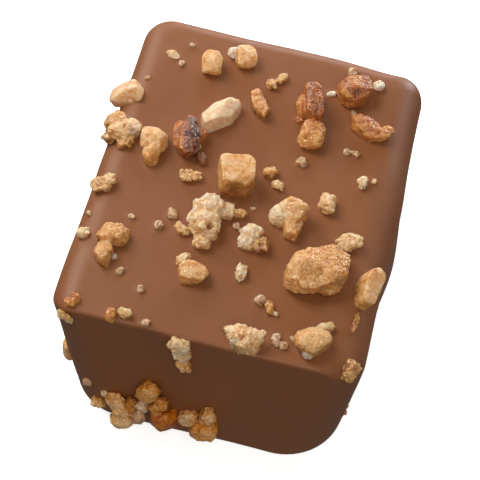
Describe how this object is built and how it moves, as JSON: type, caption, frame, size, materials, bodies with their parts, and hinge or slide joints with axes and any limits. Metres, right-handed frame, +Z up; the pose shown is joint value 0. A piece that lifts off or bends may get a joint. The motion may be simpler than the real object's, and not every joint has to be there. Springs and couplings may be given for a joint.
{
  "type": "chocolate praline",
  "caption": "Rectangular milk chocolate praline with rounded edges, topped with chopped roasted almonds and sugar crumbs.",
  "frame": {"origin": "centre of the block's flat underside", "axes": "+Z up through the topped face, +X to the right and +Y to the back along the longer side, seen with the front wall towards the viewer"},
  "size_m": [0.0278, 0.0361, 0.0199],
  "materials": {
    "milk_chocolate": "satin milk chocolate coating, smooth and slightly wavy",
    "blanched_almond": "cut blanched almond, cream to straw yellow, silky",
    "roasted_almond": "roasted almond with its amber to dark brown skin",
    "caramel_crumb": "golden caramelised almond crumb, grainy",
    "praline_crumb": "pale candied crumb, lumpy and rough",
    "sugar_crystal": "milky translucent sugar crystal"
  },
  "bodies": {
    "root": {"praline_block": "milk_chocolate"}
  },
  "joints": []
}
